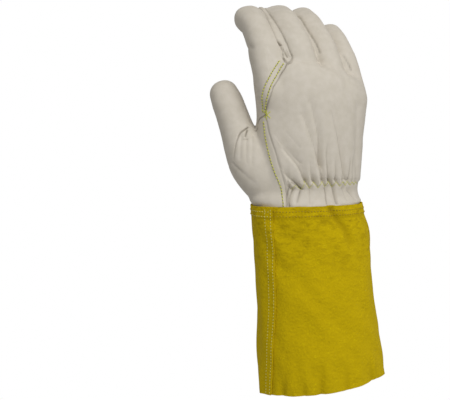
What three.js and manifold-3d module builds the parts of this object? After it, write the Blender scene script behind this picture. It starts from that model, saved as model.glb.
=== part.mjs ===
// A right-hand rigger's glove with a gauntlet cuff, in millimetres, standing up as it does when it is worn.
// +Z runs from the cuff to the fingertips, +Y is the way the palm faces, and the thumb is on the -X side.
// The origin is the middle of the wrist opening, at the height of the cuff's top edge.
// Hand, fingers and thumb are one thin hollow wall of leather, cut along its seams into the panels that it
// is sewn from. The cuff is two curved panels of suede, lapped along one side and seamed along the other.
import * as THREE from "three";
import { mergeVertices } from "three/addons/utils/BufferGeometryUtils.js";
import Module from "manifold-3d";

const wasm = await Module();
wasm.setup();

// Leather and seams
const LEATHER = 1.4;
const SEAM_GAP = 0.3;
const HALF_GAP = SEAM_GAP / 2;

// The hand from inside the cuff to the knuckles, one row for each section across it. toBack and toPalm are
// its depth each side of the centre, square is 2 for an oval and more for a box, tilt tips the section
// toward the palm, drop lowers its little-finger side, and cup bends its two sides toward the palm.
const HAND_ROWS = [
  { z: -12, x: 1.5, y: 0, halfWidth: 50, toBack: 31, toPalm: 31, square: 2.15, tilt: 0, drop: 0, cup: 0 },
  { z: 0, x: 0, y: 0, halfWidth: 50.2, toBack: 31.2, toPalm: 31.2, square: 2.15, tilt: 0, drop: 0, cup: 0 },
  { z: 2.6, x: 0.8, y: 0, halfWidth: 52.9, toBack: 31.2, toPalm: 31.4, square: 2.15, tilt: 0, drop: 0, cup: 0 },
  { z: 7, x: -1.6, y: 0, halfWidth: 52.6, toBack: 28.2, toPalm: 30, square: 2.15, tilt: 0, drop: 0, cup: 0 },
  { z: 14, x: -1, y: 0, halfWidth: 50.8, toBack: 25.5, toPalm: 28.3, square: 2.15, tilt: 0, drop: 0, cup: 1 },
  { z: 18, x: 0.3, y: 0, halfWidth: 50, toBack: 27, toPalm: 27.6, square: 2.2, tilt: 0, drop: 0, cup: 1 },
  { z: 25, x: 1.9, y: 0, halfWidth: 49.7, toBack: 27, toPalm: 27, square: 2.2, tilt: 0, drop: 0, cup: 2 },
  { z: 50, x: 4.4, y: 0, halfWidth: 51.4, toBack: 25.5, toPalm: 25, square: 2.3, tilt: 4, drop: 1, cup: 5 },
  { z: 66, x: 5.7, y: 0, halfWidth: 51.6, toBack: 24, toPalm: 23, square: 2.35, tilt: 6, drop: 2, cup: 6 },
  { z: 82, x: 7.3, y: 0, halfWidth: 52.6, toBack: 22, toPalm: 21, square: 2.4, tilt: 8, drop: 4, cup: 7 },
  { z: 108, x: 7.8, y: 1, halfWidth: 56.5, toBack: 18.5, toPalm: 17, square: 2.5, tilt: 13, drop: 9, cup: 9 },
  { z: 117, x: 7.1, y: 2, halfWidth: 55.9, toBack: 16.5, toPalm: 15, square: 2.5, tilt: 16, drop: 11, cup: 9 },
  { z: 124, x: 5.7, y: 3, halfWidth: 51.8, toBack: 13.5, toPalm: 12, square: 2.5, tilt: 18, drop: 12, cup: 9 },
  { z: 128.5, x: 4, y: 4, halfWidth: 41, toBack: 8, toPalm: 8, square: 2.4, tilt: 18, drop: 12, cup: 7 },
];
const HAND_PALM_POINTS = 16;
const WRIST_OPENING_REACH = 4;

// The wrist elastic draws the back up into folds, which stand between two angles round the section. They are
// deepest at the elastic's height, run out upward, and only a little of them is left below it.
const GATHERS = {
  first: 237.4, last: 330, folds: 10, height: 16, depth: 2.1, reachUp: 34, reachDown: 6, under: 0.5,
};

// Long dents pressed into the hand's wall, each along a line from one [x, z] point to another
const DENTS = [
  { side: "back", from: [-27, 66], to: [-11, 23], width: 4.5, depth: 1.4 },
  { side: "back", from: [-9, 78], to: [2, 25], width: 4.5, depth: 1.5 },
  { side: "back", from: [-2, 95], to: [8, 27], width: 4.5, depth: 1.6 },
  { side: "back", from: [18, 57], to: [27.5, 25], width: 4.5, depth: 1.5 },
  { side: "back", from: [-29, 33], to: [-16, 20], width: 3.5, depth: 1.6 },
  { side: "palm", from: [60, 106], to: [36, 107], width: 4.5, depth: 2.2 },
  { side: "palm", from: [33, 108], to: [12, 112], width: 5, depth: 2.4 },
  { side: "palm", from: [10, 112], to: [-10, 113], width: 4.5, depth: 2 },
  { side: "palm", from: [2, 92], to: [-2, 46], width: 15, depth: 2.5 },
];

// How deep a finger is along its length, as a share of its full depth: along is 0 at the knuckle and 1 where
// the tip rounds off. Each finger lists its width at the same places, as shares of its full width.
const FINGER_DEPTHS = [
  { along: -0.3, depth: 0.4 },
  { along: 0, depth: 0.89 },
  { along: 0.4, depth: 1 },
  { along: 0.58, depth: 0.96 },
  { along: 0.75, depth: 0.92 },
  { along: 1, depth: 0.87 },
];

// The fingers: knuckle, bone lengths, bend in degrees at each joint, lean to the little-finger side, and size
const FINGERS = {
  index: {
    knuckle: [-31.6, -1.4, 103], bones: [46, 27, 16.5], bends: [18, 28, 20], lean: -8.3, width: 28.8, depth: 27,
    widths: [0.5, 1.04, 1.07, 0.96, 0.87, 0.95],
  },
  middle: {
    knuckle: [-0.8, -3.5, 105], bones: [46.5, 30, 17], bends: [20, 30, 22], lean: -9.3, width: 30.4, depth: 27,
    widths: [0.5, 1, 1.03, 0.98, 0.94, 0.98],
  },
  ring: {
    knuckle: [31, 1.5, 101], bones: [49.5, 29, 18], bends: [21, 28, 20], lean: -13.3, width: 26.6, depth: 26,
    widths: [0.5, 1, 1.03, 0.98, 0.94, 0.91],
  },
  little: {
    knuckle: [52.3, 12, 93], bones: [42, 22, 15], bends: [18, 24, 18], lean: -9.5, width: 23.2, depth: 24,
    widths: [0.5, 1, 1.03, 0.98, 0.94, 0.91],
  },
};
const FINGER_ROOT = 22;
const FINGER_SQUARE = 2.4;
const JOINT_BEND_LENGTH = 12;
const PATH_STEP = 1;

// The thumb, one row for each section along it, with its centre, half width and half depth
const THUMB_ROWS = [
  { x: -26, y: 4, z: 14, halfWidth: 23, halfDepth: 21 },
  { x: -38.5, y: 7, z: 26, halfWidth: 24.5, halfDepth: 21 },
  { x: -49, y: 11, z: 40, halfWidth: 22, halfDepth: 19.5 },
  { x: -55.5, y: 16, z: 54, halfWidth: 18.6, halfDepth: 17.5 },
  { x: -59.6, y: 22, z: 68, halfWidth: 15.8, halfDepth: 15.2 },
  { x: -63.2, y: 28, z: 83, halfWidth: 15, halfDepth: 14 },
  { x: -66.5, y: 33, z: 95, halfWidth: 14.6, halfDepth: 13 },
  { x: -68.9, y: 36.5, z: 102.5, halfWidth: 13.3, halfDepth: 12 },
];
const THUMB_SQUARE = 2.3;

// Fingers and thumb: points round the outside and the inside, and the angles that round off a tip
const TUBE_SIDES = { outside: 16, inside: 9 };
const TIP_ROUND = [28, 52, 72];

// Seams of the hand, as [x, z] points. The dorsal seam runs from the crotch of index and middle finger to the
// cuff, and parts the back from the leather that wraps palm, index finger and thumb side.
const DORSAL_SEAM = [
  [-21.5, 131], [-30, 118.5], [-37, 109], [-40, 98], [-41, 84],
  [-39, 68], [-34.5, 48], [-29.5, 28], [-26.2, 11], [-26.2, -20],
];
// The thumb is set in round its root by one seam, and a dart runs toward it from the dorsal seam
const THUMB_SEAM = {
  line: [[-110, 28], [-72, 33], [-65, 42], [-62, 51], [-58, 62], [-52, 70], [-43.5, 72.5], [-30, 82]],
  top: 150, y: [-60, 80], margin: 1.5,
};
const THUMB_DART = { from: [-41, 83], to: [-50, 74.5], y: [-40, 4] };

// The back's leather is a sheet over the hand, which goes on round the little-finger edge to a seam some way
// in on the palm side, over the backs of three fingers, and down the outside of the little finger. Limits on
// a finger are shares of its half width and half depth.
const BACK = {
  sheet: { y: [-60, 6], corners: [[90, -20], [90, 100], [66, 112], [45, 121], [22, 131]] },
  edge: { y: [0, 60], seamIn: 5, heights: [104, 90, 70, 50, 30, 10, -20], corners: [[90, -20], [90, 112]] },
  fingers: {
    names: ["middle", "ring", "little"], from: 6, across: [-1.02, 1.02], toward: [-1.6, 0], beyond: 16,
  },
  outside: { name: "little", from: 0, across: [0.6, 1.8], toward: [-1.6, 0.75], beyond: 16 },
};

// The side strips between two fingers, which start and end at stations along each finger, and the small
// bridge that joins the two at their crotch. Between index and middle finger it is a rounded tongue that comes
// out onto the back of the hand.
const SIDE_STRIP = { across: [0.42, 1.03], toward: [-0.42, 0.42], from: 6, endsBefore: 4 };
const FOURCHETTES = {
  index_middle: {
    fingers: ["index", "middle"],
    bridge: {
      corners: [
        [-24.3, 131.5], [-22.5, 130.2], [-19.5, 130.4], [-17, 132.3], [-16.2, 135.5], [-17.2, 141], [-19.2, 150],
        [-22.5, 150], [-23, 140],
      ],
      y: [-24, 9],
    },
  },
  middle_ring: {
    fingers: ["middle", "ring"],
    bridge: { corners: [[8, 116], [15, 116], [15, 133], [8, 133]], y: [0, 10] },
  },
  ring_little: {
    fingers: ["ring", "little"],
    bridge: { corners: [[37, 106], [44, 106], [44, 122], [37, 122]], y: [6, 17] },
  },
};

// The gauntlet cuff from its hemmed top edge to its raw bottom edge, one row for each section. tip lifts the
// little-finger side, because the forearm leans that way, and lift raises both sides.
const CUFF_ROWS = [
  { z: 0, x: 0.6, halfWidth: 53, halfDepth: 33.6, tip: 0, lift: 0 },
  { z: -8.6, x: 1.8, halfWidth: 53.8, halfDepth: 34, tip: 0.2, lift: 0 },
  { z: -9.6, x: 1.9, halfWidth: 54, halfDepth: 34.1, tip: 0.2, lift: 0 },
  { z: -24, x: 4.5, halfWidth: 55.4, halfDepth: 35.2, tip: 0.5, lift: 0 },
  { z: -50, x: 7.1, halfWidth: 55.7, halfDepth: 36.6, tip: 1, lift: 0 },
  { z: -86, x: 9.8, halfWidth: 56.4, halfDepth: 38.4, tip: 1.8, lift: 0 },
  { z: -122, x: 13.3, halfWidth: 58.8, halfDepth: 40.2, tip: 3, lift: 0.5 },
  { z: -150, x: 16.3, halfWidth: 60.9, halfDepth: 41.4, tip: 4.8, lift: 2 },
  { z: -171, x: 18, halfWidth: 61.7, halfDepth: 42, tip: 6.8, lift: 4 },
];
const CUFF = { leather: 1.6, hem: 9, hemStandsOut: 0.5, square: 2.1 };
// The palm panel laps over the back panel. Its edge runs at these angles round the cuff, it climbs onto the
// panel below just before it laps, and that panel ends tucked under it.
const LAP_ROWS = [
  { z: -171, angle: 203 },
  { z: -95, angle: 214 },
  { z: -50, angle: 216.5 },
  { z: 0, angle: 219 },
];
const LAP = { width: 15, climb: 14, tucked: 13 };
// The other seam is turned inside: both edges dip in toward it, and stop a small angle short of its middle
const TURNED_SEAM = { angle: 12, edge: 0.3, dip: 1.5, width: 5 };
const CUFF_COLUMNS = { palm: 22, palmLapShare: 0.3, back: 17 };
// Near both seams a length round the cuff turns this share of its angle on a circle of the half depth
const ANGLE_SHARE = 0.8;

const GRAIN_LEATHER = { color: 0xc3bbae, roughness: 0.62, metalness: 0 };
const SUEDE = { color: 0xa58f12, roughness: 0.92, metalness: 0 };

const { clamp, degToRad, lerp, radToDeg } = THREE.MathUtils;

const smooth = (t) => clamp(t, 0, 1) ** 2 * (3 - 2 * clamp(t, 0, 1));

// A row read off a table between its rows, by a column that rises
function readRow(rows, column, at) {
  const next = rows.findIndex((row) => row[column] >= at);
  if (next === 0) return rows[0];
  if (next < 0) return rows[rows.length - 1];
  const low = rows[next - 1];
  const high = rows[next];
  const t = (at - low[column]) / (high[column] - low[column]);
  return Object.fromEntries(Object.keys(low).map((key) => [key, lerp(low[key], high[key], t)]));
}

// One point of a rounded section's outline, as distances across it and toward the palm
function outlinePoint(degrees, halfWidth, toBack, toPalm, square) {
  const c = Math.cos(degToRad(degrees));
  const s = Math.sin(degToRad(degrees));
  const depth = s > 0 ? toPalm : toBack;
  return [
    halfWidth * Math.sign(c) * Math.abs(c) ** (2 / square),
    depth * Math.sign(s) * Math.abs(s) ** (2 / square),
  ];
}

const evenAngles = (sides) => Array.from({ length: sides }, (_, i) => (i * 360) / sides);

function solidOf(geometry) {
  geometry.deleteAttribute("normal");
  geometry.deleteAttribute("uv");
  const merged = mergeVertices(geometry);
  return new wasm.Manifold(new wasm.Mesh({
    numProp: 3,
    vertProperties: merged.attributes.position.array,
    triVerts: new Uint32Array(merged.index.array),
  }));
}

function geometryOf(points, faces) {
  const geometry = new THREE.BufferGeometry().setFromPoints(points);
  geometry.setIndex(faces);
  return geometry;
}

// A closed solid through rings of equal length that turn anticlockwise seen from the last one, with flat ends
function loft(rings) {
  const sides = rings[0].length;
  const points = rings.flat();
  const faces = [];
  for (let r = 0; r + 1 < rings.length; r += 1) {
    for (let i = 0; i < sides; i += 1) {
      const a = r * sides + i;
      const b = r * sides + ((i + 1) % sides);
      faces.push(a, b, b + sides, a, b + sides, a + sides);
    }
  }
  const lastStart = (rings.length - 1) * sides;
  const middles = [rings[0], rings[rings.length - 1]].map((ring) =>
    ring.reduce((sum, point) => sum.add(point), new THREE.Vector3()).divideScalar(sides));
  points.push(...middles);
  for (let i = 0; i < sides; i += 1) {
    const j = (i + 1) % sides;
    faces.push(j, i, points.length - 2, lastStart + i, lastStart + j, points.length - 1);
  }
  return solidOf(geometryOf(points, faces));
}

// A prism along Y over an outline of [x, z] corners that turns anticlockwise, each side moved out by grow
function prism(corners, yRange, grow = 0) {
  const flat = corners.map(([x, z]) => new THREE.Vector2(x, z));
  const normal = (a, b) => new THREE.Vector2(b.y - a.y, a.x - b.x).normalize();
  const outline = flat.map((corner, i) => {
    const before = normal(flat[(i + flat.length - 1) % flat.length], corner);
    const after = normal(corner, flat[(i + 1) % flat.length]);
    const out = before.clone().add(after).normalize();
    return corner.clone().addScaledVector(out, grow / out.dot(before));
  });
  const [low, high] = yRange;
  const depth = high - low + 2 * grow;
  const geometry = new THREE.ExtrudeGeometry(new THREE.Shape(outline), { depth, bevelEnabled: false });
  geometry.rotateX(Math.PI / 2);
  geometry.translate(0, high + grow, 0);
  return solidOf(geometry);
}

const unite = (solids) => solids.reduce((all, one) => all.add(one));

// The points of a hand section lie close together over the gathered back and wider apart round the palm
const GATHER_POINTS = GATHERS.folds * 2 + 1;
const HAND_ANGLES = [
  ...Array.from({ length: GATHER_POINTS }, (_, i) =>
    lerp(GATHERS.first, GATHERS.last, i / (GATHER_POINTS - 1))),
  ...Array.from({ length: HAND_PALM_POINTS }, (_, i) =>
    lerp(GATHERS.last, GATHERS.first + 360, (i + 1) / (HAND_PALM_POINTS + 1))),
];

// How far a point of the back stands out or in because of the elastic: every other one is a fold's crest
function gatherAt(pointIndex, z) {
  if (pointIndex >= GATHER_POINTS || z < 1) return 0;
  const above = 1 - smooth((z - GATHERS.height) / GATHERS.reachUp);
  const below = clamp((GATHERS.height - z) / GATHERS.reachDown, 0, 1);
  const depth = GATHERS.depth * above ** 2 * lerp(1, GATHERS.under / GATHERS.depth, below);
  return (depth / 2) * (pointIndex % 2 === 0 ? -1 : 1);
}

// How far the dents press one side of the wall in at a point
function dentAt(side, x, z) {
  return DENTS.filter((dent) => dent.side === side).reduce((sum, { from, to, width, depth }) => {
    const [dx, dz] = [to[0] - from[0], to[1] - from[1]];
    const t = clamp(((x - from[0]) * dx + (z - from[1]) * dz) / (dx * dx + dz * dz), 0, 1);
    const away = Math.hypot(x - from[0] - t * dx, z - from[1] - t * dz);
    return sum + depth * Math.exp(-((away / width) ** 2));
  }, 0);
}

function handRing(row, inset) {
  const drop = degToRad(row.drop);
  const tilt = degToRad(row.tilt);
  const across = new THREE.Vector3(Math.cos(drop), 0, -Math.sin(drop));
  const towardPalm = new THREE.Vector3(0, Math.cos(tilt), -Math.sin(tilt));
  const sizes = [row.halfWidth - inset, row.toBack - inset, row.toPalm - inset, row.square];
  return HAND_ANGLES.map((degrees, i) => {
    const [u, v] = outlinePoint(degrees, ...sizes);
    const point = new THREE.Vector3(row.x, row.y, row.z)
      .addScaledVector(across, u)
      .addScaledVector(towardPalm, v + row.cup * (u / row.halfWidth) ** 2);
    const pressed = v < 0 ? dentAt("back", point.x, point.z) : -dentAt("palm", point.x, point.z);
    return point.addScaledVector(towardPalm, pressed - gatherAt(i, row.z));
  });
}

// The inside reaches down past the outside, which opens the wrist, and stops one section short of the top
function handSolid(inset) {
  const rings = HAND_ROWS.map((row) => handRing(row, inset));
  if (inset > 0) {
    rings.unshift(rings[0].map((point) => point.clone().setZ(point.z - WRIST_OPENING_REACH)));
    rings.pop();
  }
  return loft(rings);
}

const fingerEnd = (finger) => finger.bones.reduce((sum, bone) => sum + bone, 0);

// Stations along a finger's centre line. Each joint's bend comes in smoothly over a short length.
function fingerStations(finger, inset) {
  const [first, second] = finger.bones;
  const joints = [0, first, first + second];
  const end = fingerEnd(finger);
  const half = JOINT_BEND_LENGTH / 2;
  const lean = degToRad(finger.lean);
  const across = new THREE.Vector3(Math.cos(lean), 0, -Math.sin(lean));
  const directionAt = (s) => {
    const bend = degToRad(joints.reduce((sum, joint, i) =>
      sum + finger.bends[i] * smooth((s - joint + half) / JOINT_BEND_LENGTH), 0));
    return new THREE.Vector3(
      Math.sin(lean) * Math.cos(bend), Math.sin(bend), Math.cos(lean) * Math.cos(bend),
    );
  };
  const centre = new THREE.Vector3(...finger.knuckle);
  centre.addScaledVector(directionAt(-FINGER_ROOT), -FINGER_ROOT);
  const profile = FINGER_DEPTHS.map((row, i) => ({ ...row, width: finger.widths[i] }));
  const stations = [];
  const addStation = (s, at, scale) => {
    const size = readRow(profile, "along", s / end);
    const along = directionAt(s);
    stations.push({
      s,
      centre: at,
      along,
      across,
      towardPalm: new THREE.Vector3().crossVectors(along, across),
      halfWidth: (finger.width / 2) * size.width,
      halfDepth: (finger.depth / 2) * size.depth,
      scale,
    });
  };
  const stops = [
    -FINGER_ROOT, 0, half, ...joints.slice(1).flatMap((joint) => [joint - half, joint, joint + half]), end,
  ];
  let s = -FINGER_ROOT;
  for (const stop of stops) {
    const steps = Math.max(1, Math.ceil((stop - s) / PATH_STEP));
    const step = (stop - s) / steps;
    for (let i = 0; i < steps; i += 1) {
      centre.addScaledVector(directionAt(s + step / 2), step);
      s += step;
    }
    addStation(s, centre.clone(), 1);
  }
  const last = stations[stations.length - 1];
  for (const angle of TIP_ROUND.map(degToRad)) {
    const reach = (last.halfDepth - inset) * Math.sin(angle);
    addStation(end, centre.clone().addScaledVector(last.along, reach), Math.cos(angle));
  }
  return stations;
}

function thumbStations(inset) {
  const centres = THUMB_ROWS.map(({ x, y, z }) => new THREE.Vector3(x, y, z));
  const path = new THREE.CatmullRomCurve3(centres);
  const stations = THUMB_ROWS.map(({ halfWidth, halfDepth }, i) => {
    const along = path.getTangent(i / (THUMB_ROWS.length - 1));
    const towardPalm = new THREE.Vector3(0, 1, 0).addScaledVector(along, -along.y).normalize();
    const across = new THREE.Vector3().crossVectors(towardPalm, along);
    return { centre: centres[i], along, across, towardPalm, halfWidth, halfDepth, scale: 1 };
  });
  const last = stations[stations.length - 1];
  for (const angle of TIP_ROUND.map(degToRad)) {
    const reach = (last.halfDepth - inset) * Math.sin(angle);
    const centre = last.centre.clone().addScaledVector(last.along, reach);
    stations.push({ ...last, centre, scale: Math.cos(angle) });
  }
  return stations;
}

// A finger or the thumb as a tube with a round tip, drawn in by inset for its inside
function tube(stations, inset, square) {
  const sides = inset > 0 ? TUBE_SIDES.inside : TUBE_SIDES.outside;
  return loft(stations.map(({ centre, across, towardPalm, halfWidth, halfDepth, scale }) => {
    const width = (halfWidth - inset) * scale;
    const depth = (halfDepth - inset) * scale;
    return evenAngles(sides).map((degrees) => {
      const [u, v] = outlinePoint(degrees, width, depth, depth, square);
      return centre.clone().addScaledVector(across, u).addScaledVector(towardPalm, v);
    });
  }));
}

const fingerTube = (finger, inset) => tube(fingerStations(finger, inset), inset, FINGER_SQUARE);
const thumbTube = (inset) => tube(thumbStations(inset), inset, THUMB_SQUARE);

function wholeHand(inset) {
  const fingers = Object.values(FINGERS).map((finger) => fingerTube(finger, inset));
  return unite([handSolid(inset), ...fingers, thumbTube(inset)]);
}

// A four-sided box that follows a finger from one station to another, and straight on past it by beyond
function fingerBox(finger, { from, to = fingerEnd(finger), across, toward, beyond = 0 }, grow) {
  const stations = fingerStations(finger, 0).filter(({ s, scale }) => s >= from && s <= to && scale === 1);
  const corners = (at, ahead) => [[0, 0], [1, 0], [1, 1], [0, 1]].map(([i, j]) => at.centre.clone()
    .addScaledVector(at.along, ahead)
    .addScaledVector(at.across, across[i] * at.halfWidth + (i ? grow : -grow))
    .addScaledVector(at.towardPalm, toward[j] * at.halfDepth + (j ? grow : -grow)));
  const rings = stations.map((at) => corners(at, 0));
  if (beyond > 0) rings.push(corners(stations[stations.length - 1], beyond + grow));
  return loft(rings);
}

function fourchetteRegion({ fingers, bridge }, grow) {
  const [left, right] = fingers.map((name) => FINGERS[name]);
  const [near, far] = SIDE_STRIP.across;
  const strip = (finger, across) =>
    fingerBox(finger, { ...SIDE_STRIP, to: fingerEnd(finger) - SIDE_STRIP.endsBefore, across }, grow);
  return unite([strip(left, [near, far]), strip(right, [-far, -near]), prism(bridge.corners, bridge.y, grow)]);
}

// All of the thumb that stands beyond the seam round its root
function thumbRegion(grow) {
  const { line, top, y, margin } = THUMB_SEAM;
  const beyondSeam = prism([...line, [line[line.length - 1][0], top], [line[0][0], top]], y, grow);
  return thumbTube(-margin - grow).intersect(beyondSeam);
}

// Where the hand's little-finger edge stands at a height
function littleEdge(z) {
  const { x, halfWidth } = readRow(HAND_ROWS, "z", z);
  return x + halfWidth;
}

function backRegion(grow) {
  const { sheet, edge, fingers, outside } = BACK;
  const edgeSeam = edge.heights.map((z) => [littleEdge(z) - edge.seamIn, z]);
  return unite([
    prism([...DORSAL_SEAM, ...sheet.corners], sheet.y, grow),
    prism([...edgeSeam, ...edge.corners], edge.y, grow),
    ...fingers.names.map((name) => fingerBox(FINGERS[name], fingers, grow)),
    fingerBox(FINGERS[outside.name], outside, grow),
  ]);
}

// A slit as wide as a seam's gap
function slit({ from, to, y }) {
  const start = new THREE.Vector2(...from);
  const end = new THREE.Vector2(...to);
  const side = end.clone().sub(start).rotateAround(new THREE.Vector2(), Math.PI / 2).setLength(HALF_GAP);
  const corners = [
    start.clone().sub(side), end.clone().sub(side), end.clone().add(side), start.clone().add(side),
  ];
  return prism(corners.map(({ x, y: z }) => [x, z]), y);
}

// The hand's wall, cut along its seams: each panel is what its region holds, less what its neighbours took
function handPanels() {
  const wall = wholeHand(0).subtract(wholeHand(LEATHER));
  const panels = {};
  let rest = wall;
  const take = (name, region) => {
    panels[name] = rest.intersect(region(-HALF_GAP));
    rest = rest.subtract(region(HALF_GAP));
  };
  for (const [name, strips] of Object.entries(FOURCHETTES)) {
    take(`fourchette_${name}`, (grow) => fourchetteRegion(strips, grow));
  }
  take("thumb", thumbRegion);
  take("back_panel", backRegion);
  panels.palm_panel = rest.subtract(slit(THUMB_DART));
  return panels;
}

// A point of the cuff at an angle round a section, moved outward from it by out
function cuffPoint(row, degrees, out) {
  const [u, v] = outlinePoint(degrees, row.halfWidth, row.halfDepth, row.halfDepth, CUFF.square);
  const slope = (at, half) => (Math.sign(at) * (Math.abs(at) / half) ** (CUFF.square - 1)) / half;
  const normal = new THREE.Vector2(slope(u, row.halfWidth), slope(v, row.halfDepth)).normalize();
  const tip = degToRad(row.tip);
  const across = u + normal.x * out;
  const lift = row.lift * (u / row.halfWidth) ** 2;
  return new THREE.Vector3(
    row.x + across * Math.cos(tip), v + normal.y * out, row.z + across * Math.sin(tip) + lift,
  );
}

// A closed curved panel of even columns down the cuff: angleAt spreads them between its two side edges, and
// outerAt and innerAt say how far its two faces stand out from each section
function cuffPanel(columns, angleAt, outerAt, innerAt) {
  const face = (outAt) => CUFF_ROWS.flatMap((row) => Array.from({ length: columns }, (_, i) => {
    const degrees = angleAt(row, i / (columns - 1));
    return cuffPoint(row, degrees, outAt(row, degrees));
  }));
  const points = [...face(outerAt), ...face(innerAt)];
  const inner = points.length / 2;
  const faces = [];
  const quad = (a, b, c, d) => faces.push(a, b, c, a, c, d);
  for (let r = 0; r + 1 < CUFF_ROWS.length; r += 1) {
    const left = r * columns;
    const right = left + columns - 1;
    for (let a = left; a < right; a += 1) {
      quad(a + columns, a + columns + 1, a + 1, a);
      quad(inner + a, inner + a + 1, inner + a + columns + 1, inner + a + columns);
    }
    quad(left, left + inner, left + inner + columns, left + columns);
    quad(right + columns, right + inner + columns, right + inner, right);
  }
  const bottom = (CUFF_ROWS.length - 1) * columns;
  for (let i = 0; i + 1 < columns; i += 1) {
    quad(i, i + 1, i + 1 + inner, i + inner);
    quad(bottom + i + inner, bottom + i + 1 + inner, bottom + i + 1, bottom + i);
  }
  return solidOf(geometryOf(points, faces));
}

const lapAngle = (z) => readRow(LAP_ROWS, "z", z).angle;
const hemAt = ({ z }) => (z > -CUFF.hem ? CUFF.hemStandsOut : 0);
const degreesOver = (row, length) => radToDeg(length / row.halfDepth) * ANGLE_SHARE;

function seamDip(row, fromSeam) {
  return TURNED_SEAM.dip * (smooth(Math.abs(fromSeam) / degreesOver(row, TURNED_SEAM.width)) - 1);
}

function cuffPalm() {
  const start = TURNED_SEAM.angle + TURNED_SEAM.edge;
  const baseAt = (row, degrees) => {
    const beforeLap = lapAngle(row.z) - degrees - degreesOver(row, LAP.width);
    const over = CUFF.leather + SEAM_GAP + hemAt(row);
    return over * (1 - smooth(beforeLap / degreesOver(row, LAP.climb))) + seamDip(row, degrees - start);
  };
  const angleAt = (row, t) => {
    const end = lapAngle(row.z);
    const climbStart = end - degreesOver(row, LAP.width + LAP.climb);
    const share = 1 - CUFF_COLUMNS.palmLapShare;
    return t < share ? lerp(start, climbStart, t / share) : lerp(climbStart, end, (t - share) / (1 - share));
  };
  return cuffPanel(CUFF_COLUMNS.palm, angleAt,
    (row, degrees) => baseAt(row, degrees) + hemAt(row),
    (row, degrees) => baseAt(row, degrees) - CUFF.leather);
}

function cuffBack() {
  const end = 360 + TURNED_SEAM.angle - TURNED_SEAM.edge;
  return cuffPanel(CUFF_COLUMNS.back,
    (row, t) => lerp(lapAngle(row.z) - degreesOver(row, LAP.tucked), end, t),
    (row, degrees) => seamDip(row, degrees - end) + hemAt(row),
    (row, degrees) => seamDip(row, degrees - end) - CUFF.leather);
}

function meshOf(made, name, look) {
  const { vertProperties, triVerts } = made.getMesh();
  const geometry = new THREE.BufferGeometry();
  geometry.setAttribute("position", new THREE.BufferAttribute(vertProperties, 3));
  geometry.setIndex(new THREE.BufferAttribute(triVerts, 1));
  const mesh = new THREE.Mesh(geometry, new THREE.MeshStandardMaterial(look));
  mesh.name = name;
  return mesh;
}

const glove = new THREE.Group();
glove.name = "rigger_glove";
for (const [name, made] of Object.entries(handPanels())) glove.add(meshOf(made, name, GRAIN_LEATHER));
glove.add(meshOf(cuffPalm(), "cuff_palm", SUEDE));
glove.add(meshOf(cuffBack(), "cuff_back", SUEDE));
export default glove;
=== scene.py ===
import math

import bmesh
import bpy
import numpy as np
from mathutils import Matrix, Vector, noise
from mathutils.bvhtree import BVHTree


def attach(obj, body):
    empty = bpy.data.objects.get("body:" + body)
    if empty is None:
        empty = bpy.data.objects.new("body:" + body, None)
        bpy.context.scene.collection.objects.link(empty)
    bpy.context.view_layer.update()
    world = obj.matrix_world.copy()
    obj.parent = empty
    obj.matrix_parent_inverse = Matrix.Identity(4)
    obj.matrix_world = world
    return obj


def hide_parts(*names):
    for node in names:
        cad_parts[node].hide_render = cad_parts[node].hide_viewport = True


# A right-hand rigger's glove with a gauntlet cuff, as worn: +Z from the cuff to the fingertips, +Y the way
# the palm faces, the thumb on the -X side. Shapes are worked out in millimetres and turned to metres last.
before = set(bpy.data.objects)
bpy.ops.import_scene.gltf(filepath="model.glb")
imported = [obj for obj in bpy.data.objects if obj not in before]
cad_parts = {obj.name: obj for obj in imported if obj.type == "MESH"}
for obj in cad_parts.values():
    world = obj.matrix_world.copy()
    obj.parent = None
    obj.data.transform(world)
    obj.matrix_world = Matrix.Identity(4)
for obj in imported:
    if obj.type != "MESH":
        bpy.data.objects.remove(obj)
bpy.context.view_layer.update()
MM = 0.001


# The hand's leather
# Smooth cream grain leather, cut in six panels: the back, the palm with the thumb side and the whole index
# finger, the thumb, and three narrow strips between the fingers. Here is the skin they make together.
HAND_ROWS = [  # z, x, y, half width, to the back, to the palm, squareness, tilt, drop, cup
    (-20, 1.5, 0, 50, 31, 31, 2.15, 0, 0, 0),
    (-12, 1.5, 0, 50, 31, 31, 2.15, 0, 0, 0),
    (0, 0, 0, 50.2, 31.2, 31.2, 2.15, 0, 0, 0),
    (2.6, 0.8, 0, 52.9, 31.2, 31.4, 2.15, 0, 0, 0),
    (7, -1.6, 0, 52.6, 28.2, 30, 2.15, 0, 0, 0),
    (14, 0.4, 0, 49.4, 26.2, 28.3, 2.15, 0, 0, 1),
    (18, 1.5, 0, 48.8, 26.3, 27.6, 2.2, 0, 0, 1),
    (25, 2.5, 0, 49.1, 26.8, 27, 2.2, 0, 0, 2),
    (36, 3.1, 0, 50.7, 26.4, 26, 2.25, 2, 0, 3),
    (50, 4.4, 0, 51.4, 25.5, 25, 2.3, 4, 1, 5),
    (66, 5.7, 0, 51.6, 24, 23, 2.35, 6, 2, 6),
    (82, 7.3, 0, 52.6, 22, 21, 2.4, 8, 4, 7),
    (96, 7.6, 0, 54.5, 20, 19, 2.45, 10, 6, 8),
    (108, 7.8, 1, 56.5, 18.5, 17, 2.5, 13, 9, 9),
    (117, 7.1, 2, 55.9, 16.5, 15, 2.5, 16, 11, 9),
    (124, 5.7, 3, 51.8, 13.5, 12, 2.5, 18, 12, 9),
    (128.5, 4, 4, 41, 8, 8, 2.4, 18, 12, 7),
]
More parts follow.
